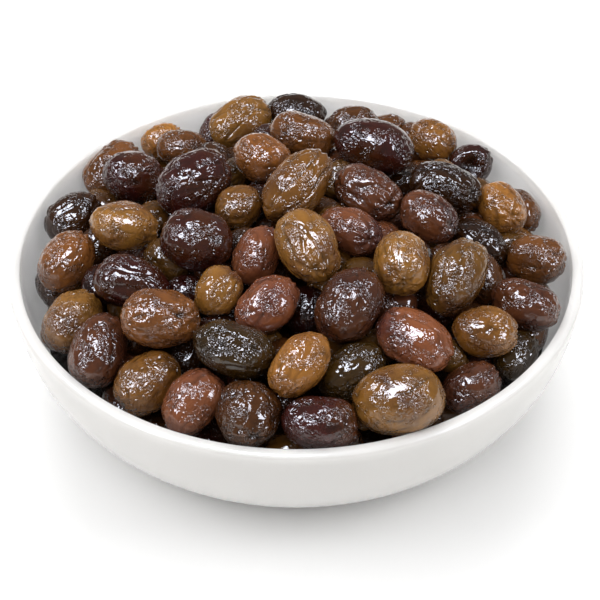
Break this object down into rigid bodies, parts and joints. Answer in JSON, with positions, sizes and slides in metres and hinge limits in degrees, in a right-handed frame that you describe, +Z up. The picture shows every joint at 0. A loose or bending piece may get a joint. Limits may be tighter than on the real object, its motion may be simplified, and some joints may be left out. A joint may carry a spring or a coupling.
{
  "type": "dish of olives",
  "caption": "Round white bowl with a narrow lip and a foot ring, heaped with whole wrinkled dark olives in oil.",
  "frame": {"origin": "centre of the foot ring's underside, on the surface the bowl stands on", "axes": "+Z up along the bowl's axis; -Y faces the picture's viewer and +X is to the right"},
  "size_m": [0.2, 0.2, 0.0911],
  "materials": {
    "glazed_porcelain": "glossy white glaze",
    "olive_skin": "wrinkled olive skin, wet with oil"
  },
  "bodies": {
    "root": {"dish": "glazed_porcelain", "olive_heap": "olive_skin"}
  },
  "joints": []
}
